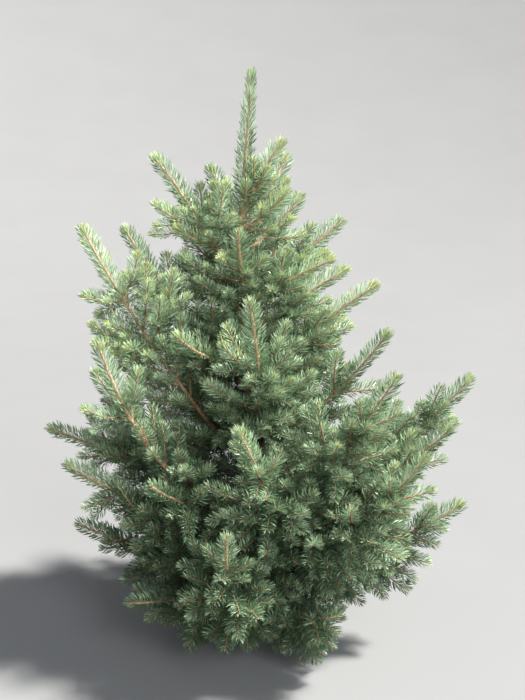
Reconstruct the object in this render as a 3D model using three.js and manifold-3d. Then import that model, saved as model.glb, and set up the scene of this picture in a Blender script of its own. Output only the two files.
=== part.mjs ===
// A young blue spruce, 1.25 m tall: a straight leader, boughs that rise at their ends, and
// shoots with needles all round them. Millimetres and degrees, +Z up, and the origin is the
// centre of the flat cut under the trunk. Azimuth 0 is to the right (+X), 90 to the back (+Y),
// 180 to the left and 270 to the front.
import * as THREE from 'three';
import { mergeVertices } from 'three/addons/utils/BufferGeometryUtils.js';
import Module from 'manifold-3d';

const wasm = await Module();
wasm.setup();

// Trunk: the whole height, the top whorl under the leader, the lean at both, and the taper
const HEIGHT = 1250;
const TOP_WHORL = 940;
const LEAN_AT_WHORL = -22;
const LEAN_AT_TIP = 3;
const LEAN_BACK = 12;
const FOOT_RADIUS = 18;
const TIP_RADIUS = 1.6;
const TAPER_POWER = 1.15;
const TRUNK_SIDES = 12;
const TRUNK_STATIONS = [0, 14, 34, 70, 130, 220, 330, 450, 580, 710, 830, 940, 1080, 1225];
const TRUNK_POINT = 8;

// Root flare: how far it stands out at the ground, how soon it fades, and its lobes
const FLARE = 8;
const FLARE_FADE = 28;
const FLARE_LOBES = 4;
const FLARE_LOBE_DEPTH = 0.16;
const FLARE_TURN = 0.6;

// Gaps: at a seat, between the foliage of different boughs, and between a twig and another's
const SEAT_GAP = 0.3;
const LEAF_GAP = 1.6;
const TWIG_GAP = 9;

// Boughs: five-sided tapering limbs with a collar at the trunk
const BOUGH_SIDES = 5;
const BOUGH_STATIONS = 3;
const OLD_BOUGH_RADIUS = 6.2;
const YOUNG_BOUGH_RADIUS = 5;
const YOUNG_FROM = 500;
const BOUGH_END_RADIUS = 4;
const COLLAR = 0.3;
const COLLAR_SHARE = 0.24;

// A bough's elbow: how far out and up it lies, as a share of the whole, and what bow adds to each
const ELBOW_SHARE = 0.5;
const BOW_OUT = 0.35;
const BOW_UP = 0.45;

// Twigs: each bough has a whorl of side shoots where a year's growth ended. The last year adds
// most, and more on a high bough than near the ground. Each side shoot is a share of what its
// bough has grown past it.
const LAST_YEAR = 190;
const LAST_YEAR_AT_GROUND = 70;
const FULL_GROWTH_FROM = 480;
const LAST_YEAR_SHARE = 0.62;
const EARLIER_YEAR = 118;
const INNER_SHARE = 0.24;
const SHORT_BOUGH = 250;
const SIDES_ON_SHORT = 2;
const SIDES_ON_LONG = 3;
const SIDE_STAGGER = 11;
const SIDE_SHARE = 0.54;
const LOWER_SIDE_SHARE = 0.41;
const SIDE_LEAST = 62;
const SIDE_MOST = 190;
const SIDE_SPREAD = 0.36;
// The way each side shoot points: its angle from the bough, and its turn about it from the top
const SIDE_ANGLE = 54;
const SIDE_ANGLE_SPREAD = 14;
const SIDE_ROLLS = [84, -84, 158];
const SIDE_ROLL_SPREAD = 34;
// Its outer half turns on along the bough, and up
const SIDE_TURN = 0.42;
const SIDE_LIFT = 0.16;
const TWIG_GROUND = 33;

// Sprays: a slim three-sided core, with a needle on every other face of it. They are fewer and
// larger than life.
const CORE_SIDES = 3;
const STEM_RADIUS = 3.6;
const SIDE_RADIUS = 2.6;
const END_RADIUS = 1.7;
const BUD_LENGTH = 9;
const NEEDLE_STEP = 40;
const NEEDLE_OUT = 32;
const NEEDLE_ON = 14;
const SIDE_NEEDLES = 1.12;
const NEEDLE_SPREAD = 0.24;
const NEEDLE_TURN_SPREAD = 0.5;
const NEEDLE_ROOT_RADIUS = 4;
const NEEDLE_TIP_RADIUS = 0.4;
const NEEDLE_GROUND = 6;
const NEEDLE_BASE = 0.4;
// Towards the end of a spray its needles close in and point on
const END_SHARE = 0.85;
const END_OUT = 0.62;
const END_ON = 1.35;

// Leader: its foliage is a sleeve round the trunk's top
const LEADER_CLEAR = 26;
const LEADER_WALL = 3.4;

// The room that limbs, stems and side shoots take: from which share of their line, in how many rods
const LIMB_ROOM = { from: 0.06, rods: 5 };
const STEM_ROOM = { from: 0.12, fromLimb: 0.02, rods: 12 };
const SIDE_ROOM = { from: 0.1, rods: 5 };

// Every bough: where it leaves the trunk (foot), how far its tip is from the trunk (reach) and
// how high (tip). Bow is from 1, out first and then up, to -1, up first and then out. Swing turns
// its elbow sideways. Bare is the share of its length that is a limb with no foliage, and 0 is a
// shoot whose foliage starts at the trunk.
const BOUGHS = [
  { name: 'top_right', azimuth: 5, foot: 935, reach: 88, tip: 1102, bow: -0.3, swing: 0, bare: 0 },
  { name: 'top_back', azimuth: 45, foot: 925, reach: 135, tip: 1070, bow: 0.3, swing: 0, bare: 0 },
  { name: 'top_front', azimuth: 318, foot: 918, reach: 126, tip: 1008, bow: 0.2, swing: 0, bare: 0 },
  { name: 'top_left', azimuth: 150, foot: 930, reach: 75, tip: 1048, bow: 0.1, swing: 0, bare: 0 },
  { name: 'upper_right', azimuth: 25, foot: 872, reach: 138, tip: 988, bow: 0.3, swing: 0, bare: 0 },
  { name: 'upper_left', azimuth: 203, foot: 862, reach: 147, tip: 930, bow: 0.1, swing: 0, bare: 0 },
  { name: 'upper_front', azimuth: 267, foot: 792, reach: 128, tip: 930, bow: 0.3, swing: 0, bare: 0 },
  { name: 'upper_back', azimuth: 118, foot: 850, reach: 165, tip: 980, bow: 0.3, swing: 0, bare: 0 },
  { name: 'high_right', azimuth: 25, foot: 775, reach: 236, tip: 930, bow: 0.1, swing: 6, bare: 0 },
  { name: 'high_front', azimuth: 338, foot: 750, reach: 195, tip: 868, bow: -0.2, swing: 0, bare: 0 },
  { name: 'high_side_right', azimuth: 352, foot: 690, reach: 215, tip: 842, bow: -0.1, swing: 0, bare: 0 },
  { name: 'high_left', azimuth: 181, foot: 712, reach: 185, tip: 1072, bow: -0.3, swing: 6, bare: 0 },
  { name: 'high_back', azimuth: 82, foot: 760, reach: 225, tip: 915, bow: 0.3, swing: 0, bare: 0 },
  { name: 'high_back_left', azimuth: 138, foot: 742, reach: 178, tip: 835, bow: 0.2, swing: 5, bare: 0 },
  { name: 'mid_left', azimuth: 192, foot: 580, reach: 253, tip: 930, bow: 0.15, swing: 4, bare: 0.36 },
  { name: 'mid_right', azimuth: 358, foot: 555, reach: 275, tip: 806, bow: -0.2, swing: 6, bare: 0 },
  { name: 'mid_front', azimuth: 272, foot: 490, reach: 236, tip: 812, bow: 0.6, swing: 14, bare: 0 },
  { name: 'mid_front_left', azimuth: 234, foot: 622, reach: 228, tip: 735, bow: 0.3, swing: 0, bare: 0 },
  { name: 'mid_back_right', azimuth: 40, foot: 610, reach: 296, tip: 695, bow: 0.2, swing: 0, bare: 0 },
  { name: 'mid_back', azimuth: 86, foot: 590, reach: 275, tip: 800, bow: 0.4, swing: -5, bare: 0 },
  { name: 'mid_back_left', azimuth: 140, foot: 615, reach: 265, tip: 765, bow: 0.3, swing: 5, bare: 0 },
  { name: 'long_left', azimuth: 202, foot: 395, reach: 350, tip: 940, bow: 0.2, swing: 12, bare: 0.43 },
  { name: 'wide_left', azimuth: 215, foot: 350, reach: 354, tip: 722, bow: 1, swing: 20, bare: 0.7 },
  { name: 'wide_right', azimuth: 347, foot: 432, reach: 300, tip: 716, bow: 0.3, swing: 0, bare: 0.36 },
  { name: 'front_right', azimuth: 316, foot: 260, reach: 390, tip: 675, bow: 0.35, swing: -12, bare: 0.23 },
  { name: 'wide_back_right', azimuth: 55, foot: 400, reach: 350, tip: 690, bow: 0.5, swing: 0, bare: 0 },
  { name: 'wide_back', azimuth: 108, foot: 425, reach: 345, tip: 680, bow: 0.5, swing: 6, bare: 0 },
  { name: 'low_left', azimuth: 194, foot: 325, reach: 428, tip: 518, bow: 0.1, swing: -8, bare: 0.23 },
  { name: 'low_side_left', azimuth: 206, foot: 258, reach: 412, tip: 467, bow: 0.3, swing: 0, bare: 0 },
  { name: 'low_front_left', azimuth: 236, foot: 290, reach: 336, tip: 460, bow: 0.3, swing: 0, bare: 0 },
  { name: 'low_front', azimuth: 267, foot: 238, reach: 335, tip: 590, bow: 0.7, swing: 28, bare: 0.23 },
  { name: 'low_right', azimuth: 4, foot: 310, reach: 490, tip: 592, bow: 0.5, swing: 0, bare: 0.23 },
  { name: 'low_outer_right', azimuth: 337, foot: 290, reach: 443, tip: 542, bow: 0.5, swing: 8, bare: 0 },
  { name: 'low_front_right', azimuth: 318, foot: 215, reach: 452, tip: 528, bow: 0.6, swing: -8, bare: 0.23 },
  { name: 'low_back_left', azimuth: 148, foot: 310, reach: 445, tip: 555, bow: 0.4, swing: 5, bare: 0 },
  { name: 'low_back', azimuth: 82, foot: 285, reach: 420, tip: 510, bow: 0.4, swing: -6, bare: 0 },
  { name: 'low_back_right', azimuth: 38, foot: 250, reach: 415, tip: 470, bow: 0.4, swing: 0, bare: 0 },
  { name: 'foot_left', azimuth: 208, foot: 175, reach: 312, tip: 412, bow: 0.6, swing: 6, bare: 0.23 },
  { name: 'foot_side_left', azimuth: 188, foot: 150, reach: 382, tip: 282, bow: 0.3, swing: 0, bare: 0 },
  { name: 'foot_front_left', azimuth: 222, foot: 115, reach: 334, tip: 183, bow: 0.3, swing: 0, bare: 0 },
  { name: 'foot_front', azimuth: 264, foot: 135, reach: 385, tip: 400, bow: 0.8, swing: -4, bare: 0.23 },
  { name: 'foot_front_right', azimuth: 297, foot: 108, reach: 380, tip: 215, bow: 0.5, swing: 0, bare: 0 },
  { name: 'foot_right', azimuth: 345, foot: 178, reach: 462, tip: 358, bow: 0.5, swing: -6, bare: 0.23 },
  { name: 'foot_side_right', azimuth: 324, foot: 138, reach: 315, tip: 250, bow: 0.5, swing: 0, bare: 0 },
  { name: 'foot_back', azimuth: 62, foot: 135, reach: 400, tip: 300, bow: 0.4, swing: 6, bare: 0 },
  { name: 'foot_back_left', azimuth: 122, foot: 128, reach: 400, tip: 290, bow: 0.4, swing: 0, bare: 0 },
];

// Boughs whose side shoots are turned about them, to stand above and below
const TURNED = { mid_left: -90, long_left: -90, wide_left: -90, wide_right: 120 };

// Colours: needles are lighter towards the top of the tree
const BARK_COLOR = 0x6e5140;
const BOUGH_COLOR = 0x9a6b45;
const UPPER_NEEDLES = new THREE.Color(0x7c9c86);
const LOWER_NEEDLES = new THREE.Color(0x46655f);

const SEED = 20347;
const UP = new THREE.Vector3(0, 0, 1);
const RIGHT = new THREE.Vector3(1, 0, 0);
const { degToRad, lerp, clamp } = THREE.MathUtils;

// A number from 0 to 1 that is always the same for the same whole numbers
function chance(...keys) {
  let h = SEED;
  for (const key of keys) {
    h = Math.imul(h ^ (key + 0x9e3779b9), 0x85ebca6b);
    h ^= h >>> 13;
    h = Math.imul(h, 0xc2b2ae35);
    h ^= h >>> 16;
  }
  return (h >>> 0) / 4294967296;
}

// The same, spread evenly about 0
function swayed(spread, ...keys) {
  return spread * (chance(...keys) - 0.5);
}

// The trunk's centre at a height: it leans to the left up to the top whorl, and the leader leans back
function trunkCentre(z) {
  const below = clamp(z / TOP_WHORL, 0, 1);
  const above = clamp((z - TOP_WHORL) / (HEIGHT - TOP_WHORL), 0, 1);
  const x = LEAN_AT_WHORL * below ** 1.5 + (LEAN_AT_TIP - LEAN_AT_WHORL) * above;
  return new THREE.Vector3(x, LEAN_BACK * (z / HEIGHT) ** 2, z);
}

// The trunk's radius at a height, in one direction round it
function trunkRadius(z, angle = 0) {
  const shaft = lerp(TIP_RADIUS, FOOT_RADIUS, Math.max(0, 1 - z / HEIGHT) ** TAPER_POWER);
  const lobes = 1 + FLARE_LOBE_DEPTH * Math.cos(FLARE_LOBES * angle + FLARE_TURN);
  return shaft + FLARE * lobes * Math.exp(-z / FLARE_FADE);
}

// Stations along a line of points: each has its centre, its direction, and two directions across
function stationsAlong(points) {
  let across = Math.abs(points[0].along.z) < 0.9 ? UP : RIGHT;
  return points.map(({ centre, along }) => {
    across = across.clone().addScaledVector(along, -across.dot(along)).normalize();
    return { centre, along, across, other: along.clone().cross(across) };
  });
}

function stationsOfCurve(curve, from, to, count) {
  return stationsAlong(Array.from({ length: count + 1 }, (_, j) => {
    const t = lerp(from, to, j / count);
    return { centre: curve.getPoint(t), along: curve.getTangent(t) };
  }));
}

function offset({ centre, across, other }, angle, radius) {
  return centre.clone()
    .addScaledVector(across, radius * Math.cos(angle))
    .addScaledVector(other, radius * Math.sin(angle));
}

// The direction of face i after station j: each ring is turned half a side from the last
const faceAngle = (j, i, sides, turn) => turn + ((2 * i + j + 1) * Math.PI) / sides;

// A closed solid of rings round the stations. Its last ring ends flat, or in a point. Where
// needles has a tip for a face, that face's three corners run out to the tip.
function ringSolid(stations, sides, radiusAt, { turn = 0, point = 0, needles = new Map() } = {}) {
  const corners = stations.flatMap((station, j) => Array.from({ length: sides }, (_, i) => {
    const angle = faceAngle(j - 1, i, sides, turn);
    return offset(station, angle, radiusAt(j, angle));
  }));
  const faces = [];
  const runTo = (tip, ring) => {
    corners.push(tip);
    ring.forEach((a, i) => faces.push([a, ring[(i + 1) % ring.length], corners.length - 1]));
  };
  for (let j = 0; j + 1 < stations.length; j++) {
    for (let i = 0; i < sides; i++) {
      const a = j * sides + i;
      const b = j * sides + ((i + 1) % sides);
      const tip = needles.get(`${j}:${i}`);
      if (tip) runTo(tip, [a, b, a + sides]);
      else faces.push([a, b, a + sides]);
      faces.push([b, b + sides, a + sides]);
    }
  }
  const end = stations.length * sides - sides;
  for (let i = 1; i + 1 < sides; i++) faces.push([0, i + 1, i]);
  if (point) {
    const { centre, along } = stations.at(-1);
    runTo(centre.clone().addScaledVector(along, point), Array.from({ length: sides }, (_, i) => end + i));
  } else {
    for (let i = 1; i + 1 < sides; i++) faces.push([end, end + i, end + i + 1]);
  }
  return new wasm.Manifold(new wasm.Mesh({
    numProp: 3,
    vertProperties: new Float32Array(corners.flatMap((corner) => corner.toArray())),
    triVerts: new Uint32Array(faces.flat()),
  }));
}

// The trunk, or the trunk grown by a gap to cut clear what meets it
function trunkSolid(gap = 0) {
  const heights = TRUNK_STATIONS.map((z) => (z === 0 ? -gap : z));
  const stations = stationsAlong(heights.map((z) => ({ centre: trunkCentre(z), along: UP })));
  const radiusAt = (j, angle) => trunkRadius(TRUNK_STATIONS[j], angle) + gap;
  return ringSolid(stations, TRUNK_SIDES, radiusAt, { point: TRUNK_POINT * (1 + gap / TIP_RADIUS) });
}

// Joins solids into one body: the joining fills what it seals, and loose scraps are dropped
function joined(solids) {
  const bodies = wasm.Manifold.union(solids).decompose();
  return bodies.reduce((most, body) => (body.volume() > most.volume() ? body : most));
}

// A bough's line, from the trunk's centre to its tip
function boughCurve({ azimuth, foot, reach, tip, bow, swing }) {
  const start = trunkCentre(foot);
  const towards = (angle) => RIGHT.clone().applyAxisAngle(UP, degToRad(angle));
  const elbow = start.clone()
    .addScaledVector(towards(azimuth + swing), reach * (ELBOW_SHARE + BOW_OUT * bow))
    .addScaledVector(UP, (tip - foot) * (ELBOW_SHARE - BOW_UP * bow));
  const end = start.clone().addScaledVector(towards(azimuth), reach).setZ(tip);
  return new THREE.QuadraticBezierCurve3(start, elbow, end);
}

// A bough's limb, cut clear of the trunk
function boughSolid({ foot, bare }, curve, trunkCutter) {
  const base = foot > YOUNG_FROM ? YOUNG_BOUGH_RADIUS : OLD_BOUGH_RADIUS;
  const radiusAt = (j) => {
    const share = j / BOUGH_STATIONS;
    return lerp(base, BOUGH_END_RADIUS, share) * (1 + COLLAR * Math.exp(-share / COLLAR_SHARE));
  };
  const stations = stationsOfCurve(curve, 0, bare, BOUGH_STATIONS);
  return joined([ringSolid(stations, BOUGH_SIDES, radiusAt).subtract(trunkCutter)]);
}

// The side shoots that a bough could have, with the place of each along it
function sideShoots(curve, { name, foot, bare }, key) {
  const total = curve.getLength();
  const count = total < SHORT_BOUGH ? SIDES_ON_SHORT : SIDES_ON_LONG;
  const lastYear = lerp(LAST_YEAR_AT_GROUND, LAST_YEAR, Math.min(1, foot / FULL_GROWTH_FROM));
  const shoots = [];
  for (let grown = Math.min(lastYear, total * LAST_YEAR_SHARE); grown < total; grown += EARLIER_YEAR) {
    for (let n = 0; n < count; n++) {
      const at = curve.getUtoTmapping(Math.max(0, 1 - (grown + (n - 1) * SIDE_STAGGER) / total));
      if (at < Math.max(bare, INNER_SHARE)) continue;
      const along = curve.getTangent(at);
      const roll = SIDE_ROLLS[n] + (TURNED[name] ?? 0) + swayed(SIDE_ROLL_SPREAD, key, grown | 0, n, 1);
      const spoke = UP.clone().addScaledVector(along, -along.z).normalize().applyAxisAngle(along, degToRad(roll));
      const angle = degToRad(SIDE_ANGLE + swayed(SIDE_ANGLE_SPREAD, key, grown | 0, n, 2));
      const out = along.clone().multiplyScalar(Math.cos(angle)).addScaledVector(spoke, Math.sin(angle));
      const onward = out.clone().addScaledVector(along, SIDE_TURN).addScaledVector(UP, SIDE_LIFT).normalize();
      const share = n < 2 ? SIDE_SHARE : LOWER_SIDE_SHARE;
      const wish = share * grown * (1 + swayed(SIDE_SPREAD, key, grown | 0, n, 3));
      const half = clamp(wish, SIDE_LEAST, SIDE_MOST) / 2;
      const start = curve.getPoint(at);
      const elbow = start.clone().addScaledVector(out, half);
      const end = elbow.clone().addScaledVector(onward, half);
      shoots.push({ at, curve: new THREE.QuadraticBezierCurve3(start, elbow, end) });
    }
  }
  return shoots;
}

// Twigs, limbs and needles are entered as tapered rods in a grid of cells
const CELL = 30;
const cells = new Map();

function cellsNear({ a, b, ra, rb }, gap) {
  const margin = gap + Math.max(ra, rb);
  const low = a.clone().min(b).subScalar(margin).divideScalar(CELL).floor();
  const high = a.clone().max(b).addScalar(margin).divideScalar(CELL).floor();
  const near = [];
  for (let x = low.x; x <= high.x; x++) {
    for (let y = low.y; y <= high.y; y++) {
      for (let z = low.z; z <= high.z; z++) near.push(`${x},${y},${z}`);
    }
  }
  return near;
}

function enter(rod) {
  for (const cell of cellsNear(rod, 0)) {
    if (!cells.has(cell)) cells.set(cell, []);
    cells.get(cell).push(rod);
  }
}

// The gap between two rods where their centre lines are nearest
function gapBetween(p, q) {
  const u = p.b.clone().sub(p.a);
  const v = q.b.clone().sub(q.a);
  const w = p.a.clone().sub(q.a);
  const uv = u.dot(v);
  const flat = u.lengthSq() * v.lengthSq() - uv * uv;
  const first = flat > 1e-9 ? clamp((uv * v.dot(w) - v.lengthSq() * u.dot(w)) / flat, 0, 1) : 0;
  const t = clamp((uv * first + v.dot(w)) / v.lengthSq(), 0, 1);
  const s = clamp((uv * t - u.dot(w)) / u.lengthSq(), 0, 1);
  const between = w.addScaledVector(u, s).addScaledVector(v, -t).length();
  return between - lerp(p.ra, p.rb, s) - lerp(q.ra, q.rb, t);
}

// A rod is free where it clears what other owners entered. A needle also clears the needles of
// the other sprays in its own mass, and may cross their cores, which it is fused to.
function isFree(rod, gap) {
  return cellsNear(rod, gap).every((cell) => (cells.get(cell) ?? []).every((other) => {
    if (other.owner !== rod.owner) return gapBetween(rod, other) >= gap;
    const otherSpray = rod.spray && other.spray && rod.spray !== other.spray;
    return !otherSpray || gapBetween(rod, other) >= 0;
  }));
}

function rodsOfCurve(curve, owner, [from, to], [startRadius, endRadius], count) {
  return Array.from({ length: count }, (_, i) => ({
    owner,
    a: curve.getPoint(lerp(from, to, i / count)),
    b: curve.getPoint(lerp(from, to, (i + 1) / count)),
    ra: lerp(startRadius, endRadius, i / count),
    rb: lerp(startRadius, endRadius, (i + 1) / count),
  }));
}

// One spray: a slim core along a curve, with needles that lean towards its tip. A needle that
// would touch another bough's foliage or a limb is left out, and so is one at a twig's root.
function spraySolid(curve, owner, key, { from = 0, radii = [STEM_RADIUS, END_RADIUS], roots = [], size = 1 }) {
  const length = curve.getLength() * (1 - from);
  const count = Math.max(2, Math.round(length / NEEDLE_STEP));
  const stations = stationsOfCurve(curve, from, 1, count);
  if (from > 0) stations[0].centre.addScaledVector(stations[0].along, SEAT_GAP);
  const turn = chance(key) * 2 * Math.PI;
  const needles = new Map();
  for (let j = 1; j < count; j++) {
    const middle = lerp(from, 1, (j + 0.5) / count);
    if (roots.some((root) => Math.abs(root - middle) < 0.5 / count)) continue;
    const isEnd = (j + 0.5) / count > END_SHARE;
    const out = size * NEEDLE_OUT * (isEnd ? END_OUT : 1);
    const on = size * NEEDLE_ON * (isEnd ? END_ON : 1);
    const { centre, along } = stations[j];
    const next = stations[j + 1].centre;
    const base = centre.clone().lerp(next, NEEDLE_BASE);
    for (let i = 0; i < CORE_SIDES; i++) {
      const angle = faceAngle(j, i, CORE_SIDES, turn) + swayed(NEEDLE_TURN_SPREAD, key, j, i, 1);
      const grow = 1 + swayed(NEEDLE_SPREAD, key, j, i, 2);
      const tip = offset({ ...stations[j], centre: base }, angle, out * grow).addScaledVector(along, on * grow);
      const rods = [centre, base, next].map((a) => (
        { owner, spray: key, a, b: tip, ra: NEEDLE_ROOT_RADIUS, rb: NEEDLE_TIP_RADIUS }
      ));
      if (tip.z < NEEDLE_GROUND || !rods.every((rod) => isFree(rod, LEAF_GAP))) continue;
      rods.forEach(enter);
      needles.set(`${j}:${i}`, tip);
    }
  }
  const radiusAt = (j) => lerp(...radii, j / count);
  return ringSolid(stations, CORE_SIDES, radiusAt, { turn, point: BUD_LENGTH, needles });
}

// The leader's foliage: a sleeve of needles round the trunk's top, cut clear of it
function leaderSolid(trunkCutter) {
  const foot = TOP_WHORL + LEADER_CLEAR;
  const curve = new THREE.LineCurve3(trunkCentre(foot), trunkCentre(HEIGHT - BUD_LENGTH));
  const radii = [trunkRadius(TOP_WHORL) + LEADER_WALL, TIP_RADIUS + LEADER_WALL];
  return joined([spraySolid(curve, 'trunk', 1, { radii }).subtract(trunkCutter)]);
}

// A named mesh whose own origin is at a place on the trunk
function meshAt(place, name, solid, color, roughness) {
  const { vertProperties, triVerts } = solid.getMesh();
  const geometry = new THREE.BufferGeometry()
    .setAttribute('position', new THREE.BufferAttribute(new Float32Array(vertProperties), 3))
    .setIndex(new THREE.BufferAttribute(new Uint32Array(triVerts), 1));
  const merged = mergeVertices(geometry, 1e-3).translate(-place.x, -place.y, -place.z);
  merged.computeVertexNormals();
  const mesh = new THREE.Mesh(merged, new THREE.MeshStandardMaterial({ color, roughness, metalness: 0 }));
  mesh.name = name;
  return mesh;
}

function blueSpruce() {
  const tree = new THREE.Group();
  const trunkCutter = trunkSolid(SEAT_GAP);
  const needleColor = (z) => LOWER_NEEDLES.clone().lerp(UPPER_NEEDLES, z / TOP_WHORL);
  tree.add(meshAt(trunkCentre(0), 'trunk', trunkSolid(), BARK_COLOR, 0.92));

  // The trunk, the limbs and the stems of all masses take their room first
  for (let j = 0; j + 1 < TRUNK_STATIONS.length; j++) {
    const [low, high] = TRUNK_STATIONS.slice(j, j + 2);
    enter({
      owner: 'trunk', a: trunkCentre(low), b: trunkCentre(high), ra: trunkRadius(low), rb: trunkRadius(high),
    });
  }
  const systems = BOUGHS.map((bough, index) => ({ bough, owner: index + 1, curve: boughCurve(bough) }));
  for (const { bough, owner, curve } of systems) {
    const limbSpan = [LIMB_ROOM.from, bough.bare];
    const stemSpan = [Math.max(STEM_ROOM.from, bough.bare + STEM_ROOM.fromLimb), 1];
    const limbRadii = [OLD_BOUGH_RADIUS, BOUGH_END_RADIUS];
    if (bough.bare > 0) {
      rodsOfCurve(curve, `limb ${owner}`, limbSpan, limbRadii, LIMB_ROOM.rods).forEach(enter);
    }
    rodsOfCurve(curve, owner, stemSpan, [STEM_RADIUS, END_RADIUS], STEM_ROOM.rods).forEach(enter);
  }

  // Then their side shoots, where there is room for a twig and its needles
  for (const system of systems) {
    system.sides = sideShoots(system.curve, system.bough, system.owner).filter(({ curve }) => {
      const radii = [SIDE_RADIUS, END_RADIUS];
      const rods = rodsOfCurve(curve, system.owner, [SIDE_ROOM.from, 1], radii, SIDE_ROOM.rods);
      if (curve.v2.z < TWIG_GROUND || !rods.every((rod) => isFree(rod, TWIG_GAP))) return false;
      rods.forEach(enter);
      return true;
    });
  }

  tree.add(meshAt(trunkCentre(0), 'leader_foliage', leaderSolid(trunkCutter), needleColor(TOP_WHORL), 0.7));
  for (const { bough, owner, curve, sides } of systems) {
    const group = new THREE.Group();
    const place = trunkCentre(bough.foot);
    group.position.copy(place);
    const stem = spraySolid(curve, owner, 100 * owner, { from: bough.bare, roots: sides.map(({ at }) => at) });
    const twigs = sides.map((side, n) => spraySolid(side.curve, owner, 100 * owner + n + 1, {
      radii: [SIDE_RADIUS, END_RADIUS],
      size: SIDE_NEEDLES,
    }));
    const mass = joined([stem, ...twigs]);
    const clear = bough.bare > 0 ? mass : joined([mass.subtract(trunkCutter)]);
    group.add(meshAt(place, `foliage_${bough.name}`, clear, needleColor(bough.foot), 0.7));
    if (bough.bare > 0) {
      const limb = boughSolid(bough, curve, trunkCutter);
      group.add(meshAt(place, `bough_${bough.name}`, limb, BOUGH_COLOR, 0.85));
    }
    tree.add(group);
  }
  return tree;
}

export default blueSpruce();
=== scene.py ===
"""A young blue spruce, dressed: bark with relief, and twigs, buds and needles by its solids' rule."""
import math

import bpy
import numpy as np
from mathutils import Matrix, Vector


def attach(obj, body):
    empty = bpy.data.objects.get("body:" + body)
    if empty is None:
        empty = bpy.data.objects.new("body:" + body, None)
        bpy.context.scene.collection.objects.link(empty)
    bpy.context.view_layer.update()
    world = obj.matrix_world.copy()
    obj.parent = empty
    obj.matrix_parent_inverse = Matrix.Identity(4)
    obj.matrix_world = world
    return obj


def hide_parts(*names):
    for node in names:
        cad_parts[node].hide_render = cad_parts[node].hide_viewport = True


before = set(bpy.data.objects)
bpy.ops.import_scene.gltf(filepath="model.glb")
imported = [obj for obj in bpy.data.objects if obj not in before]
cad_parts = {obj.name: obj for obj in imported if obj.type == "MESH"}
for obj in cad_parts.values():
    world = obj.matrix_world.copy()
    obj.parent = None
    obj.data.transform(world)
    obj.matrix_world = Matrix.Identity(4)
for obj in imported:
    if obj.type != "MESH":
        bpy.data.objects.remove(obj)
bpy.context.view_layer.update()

MM = 0.001
RNG = np.random.RandomState(6151)
UP = np.array([0.0, 0.0, 1.0])
TRUNK_OWNER = -1
# These keep a direction from vanishing and a division from failing
TINY = 1e-9
NUDGE = 1e-6
ASKEW = 0.013
CURVE_STEPS = 200

# Trunk, in millimetres, as the solids have it
HEIGHT = 1250.0
TOP_WHORL = 940.0
LEAN_AT_WHORL = -22.0
LEAN_AT_TIP = 3.0
LEAN_BACK = 12.0
LEAN_POWER = 1.5
FOOT_RADIUS = 18.0
TIP_RADIUS = 1.6
TAPER_POWER = 1.15
FLARE = 8.0
FLARE_FADE = 28.0
FLARE_LOBES = 4
FLARE_LOBE_DEPTH = 0.16
FLARE_TURN = 0.6
TRUNK_TOP = 1233.0

# Boughs: bare limbs with a collar at the trunk, and the way a bough's elbow bends
OLD_BOUGH_RADIUS = 6.2
YOUNG_BOUGH_RADIUS = 5.0
YOUNG_FROM = 500.0
BOUGH_END_RADIUS = 4.0
COLLAR = 0.3
COLLAR_SHARE = 0.24
ELBOW_SHARE = 0.5
BOW_OUT = 0.35
BOW_UP = 0.45

# Twigs, by the rule of the solids
LAST_YEAR = 190.0
LAST_YEAR_AT_GROUND = 70.0
FULL_GROWTH_FROM = 480.0
LAST_YEAR_SHARE = 0.62
EARLIER_YEAR = 118.0
INNER_SHARE = 0.24
SHORT_BOUGH = 250.0
SIDES_ON_SHORT = 2
SIDES_ON_LONG = 3
SIDE_STAGGER = 11.0
SIDE_SHARE = 0.54
LOWER_SIDE_SHARE = 0.41
SIDE_LEAST = 62.0
SIDE_MOST = 190.0
SIDE_SPREAD = 0.36
SIDE_ANGLE = 54.0
SIDE_ANGLE_SPREAD = 14.0
SIDE_ROLLS = (84.0, -84.0, 158.0)
SIDE_ROLL_SPREAD = 34.0
SIDE_TURN = 0.42
SIDE_LIFT = 0.16
TWIG_GROUND = 33.0
TWIG_GAP = 9.0
STEM_RADIUS = 3.6
SIDE_RADIUS = 2.6
END_RADIUS = 1.7
# The room that the trunk takes: up to which height, and in how many rods. For limbs, stems and
# side shoots, it is from which share of their line, and in how many rods.
TRUNK_ROOM = (1200.0, 24)
LIMB_ROOM = (0.06, 5)
STEM_ROOM = (0.12, 12)
STEM_FROM_LIMB = 0.02
SIDE_ROOM = (0.1, 5)

# Finer twigs: more of each whorl, small ones between the whorls, and the room that each keeps.
# A roll is a turn about the parent twig from its upper side. A share is of what has grown since.
MORE_ROLLS = (42.0, -138.0, 122.0, -46.0)
MORE_SHARE = 0.6
MORE_STAGGER = 10.0
NODES_UNTIL = 0.9
BETWEEN_FROM = 32.0
BETWEEN_STEP = 32.0
BETWEEN_UNTIL = 0.92
BETWEEN_SHARE = 0.48
BETWEEN_ROLLS = (60.0, 130.0)
LOWER_BETWEEN_ROLLS = (90.0, 175.0)
LOWER_BETWEEN_SHARE = 0.87
NODES_ON_SIDES = (0.5, 0.78)
ROLLS_ON_SIDES = (80.0, -80.0, 165.0)
SHARE_ON_SIDES = 0.78
NODE_SHIFT = 5.0
BRANCHES_FROM = 84.0
FINE_RADII = (1.7, 1.1)
FINE_RODS = 3
# The room of a finer twig is from the first of these shares of its line, and is tried from the other
FINE_ROOM = 0.1
FINE_TRIED = 0.45
FINE_GAP = 13.5
FINE_GAP_ABOVE = 12.0
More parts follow.
